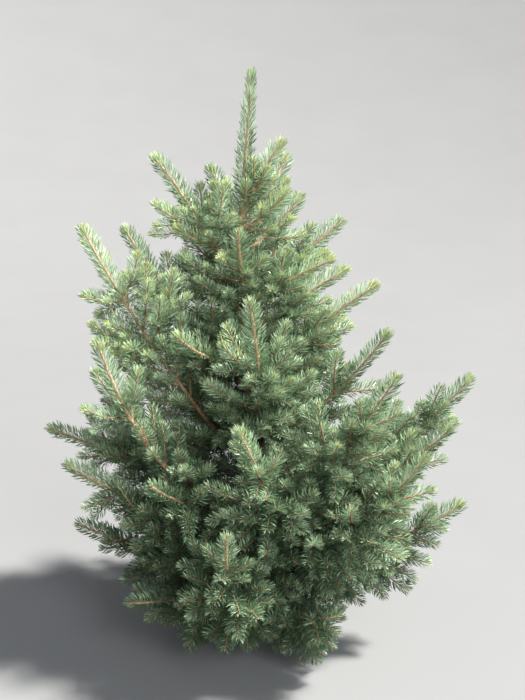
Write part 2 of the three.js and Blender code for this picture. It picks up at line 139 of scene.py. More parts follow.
# Boughs that leave the trunk at this height and above have the closer of the two gaps
CLOSE_FROM = 340.0
FINE_LEAST = 46.0
FINE_MOST = 145.0
FINE_LENGTHS = (0.75, 1.2)
FINE_UNTIL = 0.97
FINE_ROLL_SPREAD = 16.0
FINE_ANGLE = 47.0
FINE_ANGLE_SPREAD = 18.0
FINE_GROUND = 16.0
FINEST = 3
# Finer twigs near the ground droop, and more of them hang from the lowest boughs
LIFT_AT_GROUND = -0.5
FULL_LIFT_FROM = 480.0
HANGING_BELOW = 240.0
HANGING_SHARE = 0.5
HANGING_ROLLS = (150.0, 210.0)
# Small twigs on the trunk between its whorls: from which height to which, how far apart, how long
# at the lowest and the highest, how far they lean out from it, and the gap that they keep
TRUNK_TWIGS = (90.0, 900.0)
TRUNK_TWIG_STEP = 7.0
TRUNK_TWIG_LENGTHS = (190.0, 70.0)
TRUNK_TWIG_ANGLE = 68.0
TRUNK_TWIG_GAP = 6.0
TRUNK_TWIG_SPREAD = (0.8, 1.2)
TRUNK_TWIG_SWAY = 12.0
TRUNK_TWIG_ORDER = 2
# Radii of the twigs that show, at foot and tip, by order
TWIG_RADII = ((5.0, 2.8), (2.8, 1.7), (1.6, 1.0), (1.2, 0.8))

# Needles: how many to a centimetre, their size, and how far they lean from the twig, in degrees.
# A twig's last year has the longest, which point on the most. Order 0 is a bough's own shoot.
NEW_PER_CM = (17.5, 16.0, 14.5, 13.5)
OLD_PER_CM = (15.5, 13.5, 12.5, 12.0)
NEEDLE_LENGTH = (31.0, 28.0, 25.0, 22.5)
OLD_LENGTH_SHARE = 0.9
NEW_LEAN = (50.0, 53.0, 56.0, 58.0)
OLD_LEAN = 64.0
# A bough's own shoot has this share of its needles up to this share of its length
INNER_NEEDLES = 0.55
INNER_UNTIL = 0.5
LEAN_ABOVE = 6.0
LEAN_SPREAD = 7.0
NEEDLE_WIDTH = 1.65
# A needle is widest at this share of its length
WIDEST = 0.66
GOLDEN_TURN = 2.39996
# Needles this near a shoot's tip may be a shade paler, by order, how often any is a shade off, and how
# often one is two shades paler as a painted glint
PALER = (22.0, 17.0, 12.0, 9.0)
SHADE_OFF = 0.2
PAINTED_GLINTS = 0.06
# Needles under a twig part to its sides: from which turn on, and how much of the rest is left
PART_FROM = 1.75
PART_LEFT = 0.35
# How unevenly needles stand along their twig, in places, and round it, in radians
ALONG_MEAN = 0.5
ALONG_UNEVEN = 0.6
ANY_TURN = 6.28
TURN_UNEVEN = 0.1
# Within about these lengths of a shoot's tip needles close up and are shorter, and the last of all
# are shorter again
CLOSE_WITHIN = 16.0
CLOSING = 0.62
CLOSE_SHORTER = 0.34
LAST_WITHIN = 7.0
LAST_SHORTER = 0.3
NEEDLE_LENGTHS = (0.86, 1.1)
# A needle's root is at this share of its twig's radius. It rises a little, bends at its middle by
# an angle in radians, and is this thick for its width.
ROOTED = 0.7
NEEDLE_RISE = 0.10
NEEDLE_BEND = 0.1
NEEDLE_THICKNESS = 0.45
UPPER_UNEVEN = 0.6
NEEDLE_GROUND = 3.0
# Old needles start at these shares of a bough's own shoot and of other twigs
OLD_FROM = (0.14, 0.06)
LEAST_SPAN = 0.02
# Tufts of small fresh needles at the tips, by order: how long, and on shoots how bright
TUFT = (22.0, 16.0, 12.0, 10.0)
TUFT_ABOVE = (0.62, 0.74, 0.84, 0.9)
TUFT_MOST = 0.35
TUFT_PER_CM = 15.0
TUFT_LENGTH_SHARE = 0.8
TUFT_WIDTH_SHARE = 0.9
TUFT_LEAN_LESS = 6.0
# The leader's needles: its own, older ones under them, a tuft, and the older trunk below the leader.
# A pair is a length and a lean.
LEADER_PER_CM = 14.0
LEADER_END = 9.0
LEADER_FROM = 0.02
LEADER_OWN = (31.0, 48.0)
LEADER_PALER = 200.0
LEADER_OLDER = (33.0, 64.0)
LEADER_OLDER_SHARE = 3
LEADER_OLDER_UNTIL = 0.97
LEADER_TUFT = (21.0, 34.0)
LEADER_TUFT_FROM = 0.88
LEADER_CLOSING = 0.85
LEADER_CLOSING_POWER = 1.6
BELOW_LEADER_FROM = 700.0
BELOW_LEADER_ELBOW = 820.0
BELOW_LEADER_PER_CM = 18
BELOW_LEADER_LENGTH = 27.0
BELOW_LEADER_RADII = (8.5, 5.8)

# name, azimuth, foot, reach, tip, bow, swing, bare
BOUGHS = (
    ("top_right", 5, 935, 88, 1102, -0.3, 0, 0),
    ("top_back", 45, 925, 135, 1070, 0.3, 0, 0),
    ("top_front", 318, 918, 126, 1008, 0.2, 0, 0),
    ("top_left", 150, 930, 75, 1048, 0.1, 0, 0),
    ("upper_right", 25, 872, 138, 988, 0.3, 0, 0),
    ("upper_left", 203, 862, 147, 930, 0.1, 0, 0),
    ("upper_front", 267, 792, 128, 930, 0.3, 0, 0),
    ("upper_back", 118, 850, 165, 980, 0.3, 0, 0),
    ("high_right", 25, 775, 236, 930, 0.1, 6, 0),
    ("high_front", 338, 750, 195, 868, -0.2, 0, 0),
    ("high_side_right", 352, 690, 215, 842, -0.1, 0, 0),
    ("high_left", 181, 712, 185, 1072, -0.3, 6, 0),
    ("high_back", 82, 760, 225, 915, 0.3, 0, 0),
    ("high_back_left", 138, 742, 178, 835, 0.2, 5, 0),
    ("mid_left", 192, 580, 253, 930, 0.15, 4, 0.36),
    ("mid_right", 358, 555, 275, 806, -0.2, 6, 0),
    ("mid_front", 272, 490, 236, 812, 0.6, 14, 0),
    ("mid_front_left", 234, 622, 228, 735, 0.3, 0, 0),
    ("mid_back_right", 40, 610, 296, 695, 0.2, 0, 0),
    ("mid_back", 86, 590, 275, 800, 0.4, -5, 0),
    ("mid_back_left", 140, 615, 265, 765, 0.3, 5, 0),
    ("long_left", 202, 395, 350, 940, 0.2, 12, 0.43),
    ("wide_left", 215, 350, 354, 722, 1, 20, 0.7),
    ("wide_right", 347, 432, 300, 716, 0.3, 0, 0.36),
    ("front_right", 316, 260, 390, 675, 0.35, -12, 0.23),
    ("wide_back_right", 55, 400, 350, 690, 0.5, 0, 0),
    ("wide_back", 108, 425, 345, 680, 0.5, 6, 0),
    ("low_left", 194, 325, 428, 518, 0.1, -8, 0.23),
    ("low_side_left", 206, 258, 412, 467, 0.3, 0, 0),
    ("low_front_left", 236, 290, 336, 460, 0.3, 0, 0),
    ("low_front", 267, 238, 335, 590, 0.7, 28, 0.23),
    ("low_right", 4, 310, 490, 592, 0.5, 0, 0.23),
    ("low_outer_right", 337, 290, 443, 542, 0.5, 8, 0),
    ("low_front_right", 318, 215, 452, 528, 0.6, -8, 0.23),
    ("low_back_left", 148, 310, 445, 555, 0.4, 5, 0),
    ("low_back", 82, 285, 420, 510, 0.4, -6, 0),
    ("low_back_right", 38, 250, 415, 470, 0.4, 0, 0),
    ("foot_left", 208, 175, 312, 412, 0.6, 6, 0.23),
    ("foot_side_left", 188, 150, 382, 282, 0.3, 0, 0),
    ("foot_front_left", 222, 115, 334, 183, 0.3, 0, 0),
    ("foot_front", 264, 135, 385, 400, 0.8, -4, 0.23),
    ("foot_front_right", 297, 108, 380, 215, 0.5, 0, 0),
    ("foot_right", 345, 178, 462, 358, 0.5, -6, 0.23),
    ("foot_side_right", 324, 138, 315, 250, 0.5, 0, 0),
    ("foot_back", 62, 135, 400, 300, 0.4, 6, 0),
    ("foot_back_left", 122, 128, 400, 290, 0.4, 0, 0),
)

# Boughs whose side shoots are turned about them, to stand above and below, and so do their finer
# twigs, so that the boughs' own shoots show
TURNED = {"mid_left": -90, "long_left": -90, "wide_left": -90, "wide_right": 120}
OUTER_ROLLS_ON_TURNED = (32.0, -148.0)
ROLLS_ON_TURNED = (32.0, -148.0, -28.0, 152.0)
BETWEEN_FROM_TURNED = 70.0
BETWEEN_TURN = 34.0
BETWEEN_SHARE_TURNED = 0.5
# Twigs stand all round their bare limbs, but for this share of the bough's length at the limb's end
LIMB_SHOWS = 0.08
LIMB_STEP = 12.0
LIMB_SHARE = 0.34

SEED = 20347
WORD = 0xFFFFFFFF


def chance(*keys):
    """The solids' number from 0 to 1 for the same whole numbers."""
    h = SEED
    for key in keys:
        h = ((h ^ ((key + 0x9E3779B9) & WORD)) * 0x85EBCA6B) & WORD
        h ^= h >> 13
        h = (h * 0xC2B2AE35) & WORD
        h ^= h >> 16
    return h / 4294967296


def swayed(spread, *keys):
    return spread * (chance(*keys) - 0.5)


def lerp(a, b, share):
    return a + (b - a) * share


def unit(v):
    return v / np.linalg.norm(v, axis=-1, keepdims=True)


def trunk_centre(z):
    z = np.asarray(z, float)
    below = np.clip(z / TOP_WHORL, 0, 1)
    above = np.clip((z - TOP_WHORL) / (HEIGHT - TOP_WHORL), 0, 1)
    x = LEAN_AT_WHORL * below ** LEAN_POWER + (LEAN_AT_TIP - LEAN_AT_WHORL) * above
    return np.stack([x, LEAN_BACK * (z / HEIGHT) ** 2, z], -1)


def trunk_radius(z, angle=0.0):
    shaft = lerp(TIP_RADIUS, FOOT_RADIUS, np.clip(1 - z / HEIGHT, 0, 1) ** TAPER_POWER)
    lobes = 1 + FLARE_LOBE_DEPTH * np.cos(FLARE_LOBES * angle + FLARE_TURN)
    return shaft + FLARE * lobes * np.exp(-z / FLARE_FADE)


class Curve:
    """A quadratic curve with an even measure of its length."""

    def __init__(self, start, elbow, end):
        self.p = np.array([start, elbow, end], float)
        self.t = np.linspace(0, 1, CURVE_STEPS + 1)
        steps = np.linalg.norm(np.diff(self.point(self.t), axis=0), axis=1)
        self.arc = np.concatenate([[0], np.cumsum(steps)])
        self.length = self.arc[-1]

    def point(self, t):
        t = np.asarray(t, float)[..., None]
        return (1 - t) ** 2 * self.p[0] + 2 * t * (1 - t) * self.p[1] + t ** 2 * self.p[2]

    def tangent(self, t):
        t = np.asarray(t, float)[..., None]
        return unit((1 - t) * (self.p[1] - self.p[0]) + t * (self.p[2] - self.p[1]) + TINY)

    def at(self, share):
        """The parameter at a share of the length."""
        return np.interp(np.asarray(share) * self.length, self.arc, self.t)


def towards(angle):
    return np.array([math.cos(math.radians(angle)), math.sin(math.radians(angle)), 0.0])


def bough_curve(azimuth, foot, reach, tip, bow, swing):
    """A bough's line, from the trunk's centre to its tip."""
    start = trunk_centre(foot)
    out = towards(azimuth + swing) * reach * (ELBOW_SHARE + BOW_OUT * bow)
    rise = UP * (tip - foot) * (ELBOW_SHARE - BOW_UP * bow)
    end = start + towards(azimuth) * reach
    end[2] = tip
    return Curve(start, start + out + rise, end)


def spoke_at(along, roll):
    """The direction across a twig at a turn from its upper side."""
    above = unit(UP - along * along[2])
    left = np.cross(along, above)
    return above * math.cos(math.radians(roll)) + left * math.sin(math.radians(roll))


def side_curve(curve, at, roll, angle, length, lift=SIDE_LIFT):
    """A side shoot: it leaves at an angle, then turns on along its parent and up."""
    along = curve.tangent(at)
    out = along * math.cos(math.radians(angle)) + spoke_at(along, roll) * math.sin(math.radians(angle))
    onward = unit(out + along * SIDE_TURN + UP * lift)
    start = curve.point(at)
    elbow = start + out * length / 2
    return Curve(start, elbow, elbow + onward * length / 2)


class Room:
    """Twigs and limbs as tapered rods. A new twig keeps a gap from those of others."""

    def __init__(self):
        self.rods = np.zeros((0, 9))

    def add(self, rods):
        self.rods = np.concatenate([self.rods, rods])

    def free(self, rods, gap, own=True):
        """Whether the rods keep the gap from all rods entered, or from other owners' only."""
        for rod in rods:
            others = self.rods if own else self.rods[self.rods[:, 8] != rod[8]]
            if len(others) and gap_between(rod, others).min() < gap:
                return False
        return True


def gap_between(rod, others):
    """The gap from one rod to each of the others, from surface to surface."""
    u = rod[3:6] - rod[0:3]
    v = others[:, 3:6] - others[:, 0:3]
    w = rod[0:3] - others[:, 0:3]
    uu = u @ u
    vv = (v * v).sum(1)
    uv = v @ u
    uw = w @ u
    vw = (v * w).sum(1)
    flat = uu * vv - uv * uv
    s = np.where(flat > TINY, np.clip((uv * vw - vv * uw) / np.maximum(flat, TINY), 0, 1), 0)
    t = np.clip((uv * s + vw) / vv, 0, 1)
    s = np.clip((uv * t - uw) / uu, 0, 1)
    between = np.linalg.norm(w + s[:, None] * u - t[:, None] * v, axis=1)
    return between - lerp(rod[6], rod[7], s) - lerp(others[:, 6], others[:, 7], t)


def rods_of(curve, owner, span, radii, count):
    """A stretch of a curve as rods: both ends, both radii and the owner of each."""
    t = np.linspace(span[0], span[1], count + 1)
    p = curve.point(t)
    r = np.linspace(radii[0], radii[1], count + 1)
    return np.column_stack([p[:-1], p[1:], r[:-1], r[1:], np.full(count, owner)])


class Shoot:
    """A twig: its curve, where its foliage starts, how long its last year is, and its order.

    Order 0 is a bough's own shoot. The finest share the last kind.
    """

    def __init__(self, curve, owner, order, bough, last, start=0.0):
        self.curve = curve
        self.owner = owner
        self.order = order
        self.kind = min(order, len(TWIG_RADII) - 1)
        self.radii = TWIG_RADII[self.kind]
        self.bough = bough
        self.last = last
        self.start = start


def last_year_of(foot, total):
    full = lerp(LAST_YEAR_AT_GROUND, LAST_YEAR, min(1, foot / FULL_GROWTH_FROM))
    return min(full, total * LAST_YEAR_SHARE)


def side_shoots(curve, name, foot, bare, key):
    """The side shoots that the solids could have on a bough."""
    total = curve.length
    count = SIDES_ON_SHORT if total < SHORT_BOUGH else SIDES_ON_LONG
    grown = last_year_of(foot, total)
    while grown < total:
        g = int(grown)
        for n in range(count):
            at = curve.at(max(0, 1 - (grown + (n - 1) * SIDE_STAGGER) / total))
            if at < max(bare, INNER_SHARE):
                continue
            roll = SIDE_ROLLS[n] + TURNED.get(name, 0) + swayed(SIDE_ROLL_SPREAD, key, g, n, 1)
            angle = SIDE_ANGLE + swayed(SIDE_ANGLE_SPREAD, key, g, n, 2)
            share = SIDE_SHARE if n < 2 else LOWER_SIDE_SHARE
            wish = share * grown * (1 + swayed(SIDE_SPREAD, key, g, n, 3))
            yield side_curve(curve, at, roll, angle, min(max(wish, SIDE_LEAST), SIDE_MOST))
        grown += EARLIER_YEAR


def spots_on_turned(shoot):
    """Where a turned bough bears small twigs: above and below its own shoot, and all round its limb."""
    total = shoot.curve.length
    between = shoot.last + BETWEEN_FROM_TURNED
    while between < total * (1 - shoot.start):
        turn = RNG.uniform(-BETWEEN_TURN, BETWEEN_TURN)
        yield between, turn, BETWEEN_SHARE_TURNED
        turn = RNG.uniform(-BETWEEN_TURN, BETWEEN_TURN)
        yield between + BETWEEN_STEP / 2, 180 + turn, BETWEEN_SHARE_TURNED
        between += BETWEEN_STEP
    on_limb = total * (1 - shoot.start + LIMB_SHOWS)
    while on_limb < total * BETWEEN_UNTIL:
        yield on_limb, RNG.uniform(-180, 180), LIMB_SHARE
        on_limb += LIMB_STEP


def spots_on_bough(shoot):
    """Where a bough's own shoot bears finer ones: distance from its tip, roll, and share."""
    total = shoot.curve.length
    is_turned = shoot.bough[0] in TURNED
    node = shoot.last
    rolls = OUTER_ROLLS_ON_TURNED if is_turned else MORE_ROLLS
    while node < total * (1 - shoot.start) * NODES_UNTIL:
        for n, roll in enumerate(rolls):
            yield node + MORE_STAGGER * (n - 1), roll, MORE_SHARE
        node += EARLIER_YEAR
        rolls = ROLLS_ON_TURNED if is_turned else MORE_ROLLS
    if is_turned:
        yield from spots_on_turned(shoot)
        return
    between = shoot.last + BETWEEN_FROM
    side = 1
    while between < total * BETWEEN_UNTIL:
        yield between, side * RNG.uniform(*BETWEEN_ROLLS), BETWEEN_SHARE
        roll = -side * RNG.uniform(*LOWER_BETWEEN_ROLLS)
        yield between + BETWEEN_STEP / 3, roll, BETWEEN_SHARE * LOWER_BETWEEN_SHARE
        if shoot.bough[2] < HANGING_BELOW:
            yield between + BETWEEN_STEP / 2, RNG.uniform(*HANGING_ROLLS), HANGING_SHARE
        between += BETWEEN_STEP
        side = -side


def spots_on_side(shoot):
    """The same on a side shoot or a finer one, which bears none where it is short."""
    total = shoot.curve.length
    if total > BRANCHES_FROM:
        for share in NODES_ON_SIDES:
            for roll in ROLLS_ON_SIDES:
                yield share * total + RNG.uniform(-NODE_SHIFT, NODE_SHIFT), roll, SHARE_ON_SIDES


def finer_shoots(shoot):
    """The finer twigs that a twig could bear."""
    total = shoot.curve.length
    spots = spots_on_side(shoot) if shoot.order else spots_on_bough(shoot)
    for grown, roll, share in list(spots):
        length = share * grown * RNG.uniform(*FINE_LENGTHS)
        if length < FINE_LEAST or grown > total * FINE_UNTIL:
            continue
        at = shoot.curve.at(1 - grown / total)
        angle = FINE_ANGLE + FINE_ANGLE_SPREAD * RNG.uniform(-0.5, 0.5)
        roll = roll + RNG.uniform(-FINE_ROLL_SPREAD, FINE_ROLL_SPREAD)
        lift = lerp(LIFT_AT_GROUND, SIDE_LIFT, min(1, shoot.curve.point(at)[2] / FULL_LIFT_FROM))
        yield side_curve(shoot.curve, at, roll, angle, min(length, FINE_MOST), lift)


def trunk_twigs():
    """Small twigs on the trunk, by a golden turn. Each is counted with the bough that leaves nearest."""
    for n, height in enumerate(np.arange(*TRUNK_TWIGS, TRUNK_TWIG_STEP)):
        azimuth = math.degrees(n * GOLDEN_TURN) % 360
        share = (height - TRUNK_TWIGS[0]) / (TRUNK_TWIGS[1] - TRUNK_TWIGS[0])
        half = lerp(*TRUNK_TWIG_LENGTHS, share) * RNG.uniform(*TRUNK_TWIG_SPREAD) / 2
        lean = math.radians(TRUNK_TWIG_ANGLE + RNG.uniform(-TRUNK_TWIG_SWAY, TRUNK_TWIG_SWAY))
        out = towards(azimuth) * math.sin(lean) + UP * math.cos(lean)
        start = trunk_centre(height)
        elbow = start + out * half
        curve = Curve(start, elbow, elbow + unit(out + UP * SIDE_TURN) * half)
        turned = [abs((bough[1] - azimuth + 180) % 360 - 180) for bough in BOUGHS]
        apart = [abs(bough[2] - height) + turn for bough, turn in zip(BOUGHS, turned)]
        yield curve, BOUGHS[int(np.argmin(apart))]


def grow_tree():
    """All twigs: the solids' own first, then finer ones where there is room."""
    room = Room()
    heights = np.linspace(0, TRUNK_ROOM[0], TRUNK_ROOM[1] + 1)
    centres, radii = trunk_centre(heights), trunk_radius(heights)
    owners = np.full(len(heights) - 1, TRUNK_OWNER)
    room.add(np.column_stack([centres[:-1], centres[1:], radii[:-1], radii[1:], owners]))
    shoots = []
    for index, bough in enumerate(BOUGHS):
        name, azimuth, foot, reach, tip, bow, swing, bare = bough
        curve = bough_curve(azimuth, foot, reach, tip, bow, swing)
        owner = index + 1
        if bare:
            radii = (OLD_BOUGH_RADIUS, BOUGH_END_RADIUS)
            room.add(rods_of(curve, TRUNK_OWNER - owner, (LIMB_ROOM[0], bare), radii, LIMB_ROOM[1]))
        span = (max(STEM_ROOM[0], bare + STEM_FROM_LIMB), 1)
        room.add(rods_of(curve, owner, span, (STEM_RADIUS, END_RADIUS), STEM_ROOM[1]))
        last = last_year_of(foot, curve.length)
        shoots.append(Shoot(curve, owner, 0, bough, last, bare))
    for stem in list(shoots):
        foot = stem.bough[2]
        for curve in side_shoots(stem.curve, stem.bough[0], foot, stem.start, stem.owner):
            rods = rods_of(curve, stem.owner, (SIDE_ROOM[0], 1), (SIDE_RADIUS, END_RADIUS), SIDE_ROOM[1])
            if curve.p[2][2] < TWIG_GROUND or not room.free(rods, TWIG_GAP, own=False):
                continue
            room.add(rods)
            last = curve.length * NODES_ON_SIDES[0]
            shoots.append(Shoot(curve, stem.owner, 1, stem.bough, last))
    level = list(shoots)
    for _ in range(FINEST):
        grown = []
        for parent in level:
            gap = FINE_GAP_ABOVE if parent.bough[2] >= CLOSE_FROM else FINE_GAP
            for curve in finer_shoots(parent):
                rods = rods_of(curve, parent.owner, (FINE_TRIED, 1), FINE_RADII, FINE_RODS)
                if curve.p[2][2] < FINE_GROUND or not room.free(rods, gap):
                    continue
                room.add(rods_of(curve, parent.owner, (FINE_ROOM, 1), FINE_RADII, FINE_RODS))
                last = curve.length * NODES_ON_SIDES[0]
                grown.append(Shoot(curve, parent.owner, parent.order + 1, parent.bough, last))
        shoots += grown
        level = grown
    for curve, bough in trunk_twigs():
        rods = rods_of(curve, TRUNK_OWNER, (FINE_TRIED, 1), FINE_RADII, FINE_RODS)
        if room.free(rods, TRUNK_TWIG_GAP):
            room.add(rods)
            last = curve.length * NODES_ON_SIDES[0]
            shoots.append(Shoot(curve, TRUNK_OWNER, TRUNK_TWIG_ORDER, bough, last))
    return shoots


class Needles:
    """Needles as roots, middles and tips, in one spiral all round a stretch of twig."""

    def __init__(self, curve, span, per_cm, length, lean, radii, to_tip=None):
        stretch = curve.length * (span[1] - span[0])
        count = max(3, int(stretch / 10 * per_cm))
        number = np.arange(count)
        uneven = RNG.normal(ALONG_MEAN, ALONG_UNEVEN, count)
        share = lerp(span[0], span[1], np.clip((number + uneven) / count, 0, 1))
        t = curve.at(share)
        centre, along = curve.point(t), curve.tangent(t)
        above = unit(UP - along * along[:, 2:3] + NUDGE)
        left = np.cross(along, above)
        turn = number * GOLDEN_TURN + RNG.uniform(0, ANY_TURN) + RNG.normal(0, TURN_UNEVEN, count)
        turn = (turn + math.pi) % (2 * math.pi) - math.pi
        level = np.hypot(along[:, 0], along[:, 1])
        parted = PART_FROM + (np.abs(turn) - PART_FROM) * lerp(1, PART_LEFT, level)
        turn = np.where(np.abs(turn) > PART_FROM, np.sign(turn) * parted, turn)
        spoke = above * np.cos(turn)[:, None] + left * np.sin(turn)[:, None]
        left_over = (1 - share) * curve.length
        close = np.exp(-left_over / CLOSE_WITHIN) if to_tip is None else to_tip(share)
        leaning = np.radians(lean + LEAN_ABOVE * np.cos(turn) + RNG.normal(0, LEAN_SPREAD, count))
        leaning = leaning * (1 - CLOSING * close)
        size = length * (1 - CLOSE_SHORTER * close) * (1 - LAST_SHORTER * np.exp(-left_over / LAST_WITHIN))
        size = size * RNG.uniform(*NEEDLE_LENGTHS, count)
        radius = lerp(radii[0], radii[1], share)
        self.root = centre + spoke * (radius * ROOTED)[:, None]
        rise = UP * NEEDLE_RISE

        def reached(distance, angle):
            way = along * np.cos(angle)[:, None] + spoke * np.sin(angle)[:, None] + rise
            return self.root + unit(way) * distance[:, None]

        self.middle = reached(size * WIDEST, leaning + NEEDLE_BEND)
        self.tip = reached(size, leaning)
        # Which needles stand above their twig; those under it are given painted shade below
        self.upper = np.cos(turn) > RNG.uniform(-UPPER_UNEVEN, UPPER_UNEVEN, count)
        self.left_over = left_over

    def arrays(self, width, paler):
        """Corners and faces, four of each to a needle, and each face's shade from its needle's place: a
        colour darker under its twig as painted shade, and a few two colours paler as painted glints.
        """
        keep = self.tip[:, 2] > NEEDLE_GROUND
        root, middle, tip = self.root[keep], self.middle[keep], self.tip[keep]
        count = len(root)
        way = unit(tip - root)
        across = unit(np.cross(way, UP + ASKEW))
        other = np.cross(way, across)
        turn = RNG.uniform(0, 2 * math.pi, (count, 1))
        wide = across * np.cos(turn) + other * np.sin(turn)
        thick = np.cross(way, wide)
        corners = [root, tip]
        for side in (1, -1):
            corners.append(middle + wide * (width / 2 * side) + thick * (width * NEEDLE_THICKNESS))
        corners = np.stack(corners, 1).reshape(-1, 3)
        pattern = np.array([[0, 3, 2], [1, 2, 3], [0, 2, 1], [0, 1, 3]])
        faces = (np.arange(count)[:, None, None] * 4 + pattern[None]).reshape(-1, 3)
        # A needle under its twig is a colour darker, painted shade; one near the tip may be a colour paler
        shade = np.where(self.upper[keep], 0, 1) - (self.left_over[keep] < paler * RNG.uniform(0, 1, count))
        off = RNG.uniform(0, 1, count)
        # A colour off either way at random, and a few needles two colours paler as painted glints
        shade = shade + (off < SHADE_OFF) - (off > 1 - SHADE_OFF) - (off > 1 - PAINTED_GLINTS)
        return corners, faces, np.repeat(shade, 4)


def mesh_object(name, corners, faces, materials, indices=None, smooth=True):
    """An object from arrays in millimetres."""
    mesh = bpy.data.meshes.new(name)
    mesh.vertices.add(len(corners))
    mesh.vertices.foreach_set("co", (corners * MM).astype(np.float32).ravel())
    mesh.loops.add(faces.size)
    mesh.loops.foreach_set("vertex_index", faces.astype(np.int32).ravel())
    mesh.polygons.add(len(faces))
    mesh.polygons.foreach_set("loop_start", np.arange(0, faces.size, 3, dtype=np.int32))
    for material in materials:
        mesh.materials.append(material)
    if indices is not None:
        mesh.polygons.foreach_set("material_index", indices.astype(np.int32))
    mesh.polygons.foreach_set("use_smooth", np.full(len(faces), smooth))
    mesh.update(calc_edges=True)
    mesh.validate()
    obj = bpy.data.objects.new(name, mesh)
    bpy.context.scene.collection.objects.link(obj)
    return obj


# A tube that starts more steeply than this is measured round from its right side
STEEP = 0.9


def tube_arrays(points, along, radii, sides, end=0.0):
    """A closed tube of triangles. Each ring has one radius, or one for each side of it."""
    points = np.asarray(points)
    across = UP if abs(along[0][2]) < STEEP else np.array([1.0, 0, 0])
    angle = np.arange(sides) * 2 * math.pi / sides
    corners = []
    for p, a, r in zip(points, along, radii):
        across = unit(across - a * (across @ a))
        other = np.cross(a, across)
        r = np.broadcast_to(r, (sides,))
        corners.append(p + across * (np.cos(angle) * r)[:, None] + other * (np.sin(angle) * r)[:, None])
    rings = len(points)
    corners += [points[:1], points[-1:] + along[-1:] * end]
    j, i = np.meshgrid(np.arange(rings - 1), np.arange(sides), indexing="ij")
    a = (j * sides + i).ravel()
    b = (j * sides + (i + 1) % sides).ravel()
    i = np.arange(sides)
    last = (rings - 1) * sides
    start = np.stack([np.full(sides, rings * sides), (i + 1) % sides, i], 1)
    stop = np.stack([last + i, last + (i + 1) % sides, np.full(sides, rings * sides + 1)], 1)
    walls = [np.stack([a, b, b + sides], 1), np.stack([a, b + sides, a + sides], 1)]
    return np.concatenate(corners), np.concatenate(walls + [start, stop])


def joined_arrays(parts):
    """One array of corners and one of faces from several."""
    corners, faces, base = [], [], 0
    for c, f in parts:
        corners.append(c)
        faces.append(f + base)
        base += len(c)
    return np.concatenate(corners), np.concatenate(faces)


# How much darker and lighter than its colour a needle's shade may be, and how large the patches are
DARKER = 0.82
LIGHTER = 1.18
NEEDLE_PATCHES = 42.0
NEEDLE_DETAIL = 2.0
NEEDLE_RAMP = (0.36, 0.66)
SHEEN_TINT = (0.85, 1.0, 0.95, 1)
SHEEN_ROUGH = 0.4
# Bark's pattern: how detailed it is, where its colours start and end, and its relief in metres
BARK_DETAIL = 6.0
BARK_RAMP = (0.32, 0.7)
BARK_RELIEF = 0.001


def needle_material(name, color, rough=0.32, sheen=0.06):
    material = bpy.data.materials.new(name)
    material.use_nodes = True
    nodes, links = material.node_tree.nodes, material.node_tree.links
    shader = nodes["Principled BSDF"]
    shader.inputs["Roughness"].default_value = rough
    shader.inputs["Sheen Weight"].default_value = sheen
    shader.inputs["Sheen Tint"].default_value = SHEEN_TINT
    shader.inputs["Sheen Roughness"].default_value = SHEEN_ROUGH
    place = nodes.new("ShaderNodeTexCoord")
    noise = nodes.new("ShaderNodeTexNoise")
    noise.inputs["Scale"].default_value = NEEDLE_PATCHES
    noise.inputs["Detail"].default_value = NEEDLE_DETAIL
    ramp = nodes.new("ShaderNodeValToRGB")
    ramp.color_ramp.elements[0].position = NEEDLE_RAMP[0]
    ramp.color_ramp.elements[1].position = NEEDLE_RAMP[1]
    ramp.color_ramp.elements[0].color = (*[c * DARKER for c in color], 1)
    ramp.color_ramp.elements[1].color = (*[min(c * LIGHTER, 1) for c in color], 1)
    links.new(place.outputs["Object"], noise.inputs["Vector"])
    links.new(noise.outputs["Fac"], ramp.inputs["Fac"])
    links.new(ramp.outputs["Color"], shader.inputs["Base Color"])
    return material


def bark_material(name, low, high, scale, rough=0.85, bump=0.4):
    material = bpy.data.materials.new(name)
    material.use_nodes = True
    nodes, links = material.node_tree.nodes, material.node_tree.links
    shader = nodes["Principled BSDF"]
    shader.inputs["Roughness"].default_value = rough
    place = nodes.new("ShaderNodeTexCoord")
    noise = nodes.new("ShaderNodeTexNoise")
    noise.inputs["Scale"].default_value = scale
    noise.inputs["Detail"].default_value = BARK_DETAIL
    ramp = nodes.new("ShaderNodeValToRGB")
    ramp.color_ramp.elements[0].position = BARK_RAMP[0]
    ramp.color_ramp.elements[1].position = BARK_RAMP[1]
    ramp.color_ramp.elements[0].color = (*low, 1)
    ramp.color_ramp.elements[1].color = (*high, 1)
    relief = nodes.new("ShaderNodeBump")
    relief.inputs["Strength"].default_value = bump
    relief.inputs["Distance"].default_value = BARK_RELIEF
    links.new(place.outputs["Object"], noise.inputs["Vector"])
    links.new(noise.outputs["Fac"], ramp.inputs["Fac"])
    links.new(ramp.outputs["Color"], shader.inputs["Base Color"])
    links.new(noise.outputs["Fac"], relief.inputs["Height"])
    links.new(relief.outputs["Normal"], shader.inputs["Normal"])
    return material


# Needle colours, from the palest shoot tips to the oldest in the shade. They are dealt out by how open a
# spray is, so they hold painted light and painted shade as well as the needles' own colour
NEEDLE_COLORS = {
    "needle_fresh": (0.66, 0.72, 0.32),
    "needle_silver": (0.49, 0.645, 0.425),
    "needle_blue": (0.355, 0.485, 0.31),
    "needle_green": (0.213, 0.32, 0.174),
    "needle_shade": (0.092, 0.156, 0.083),
}
FRESH, SILVER, BLUE, GREEN, SHADE = range(5)


# The crown's radius low down, its top, the height over which it narrows, and its least share
CROWN_RADIUS = 420.0
CROWN_TOP = 1150.0
CROWN_NARROWS = 650.0
CROWN_LEAST = 0.15
# How much a spray's reach and its height count for its openness
REACH_COUNTS = 0.42
HEIGHT_COUNTS = 0.58
OPEN_HEIGHT = 780.0
OPEN_POWER = 1.15
# How uneven a spray's openness is made, and above which values it has each colour
OPEN_UNEVEN = 0.14
SILVER_ABOVE = 0.97
BLUE_ABOVE = 0.62
GREEN_ABOVE = 0.42


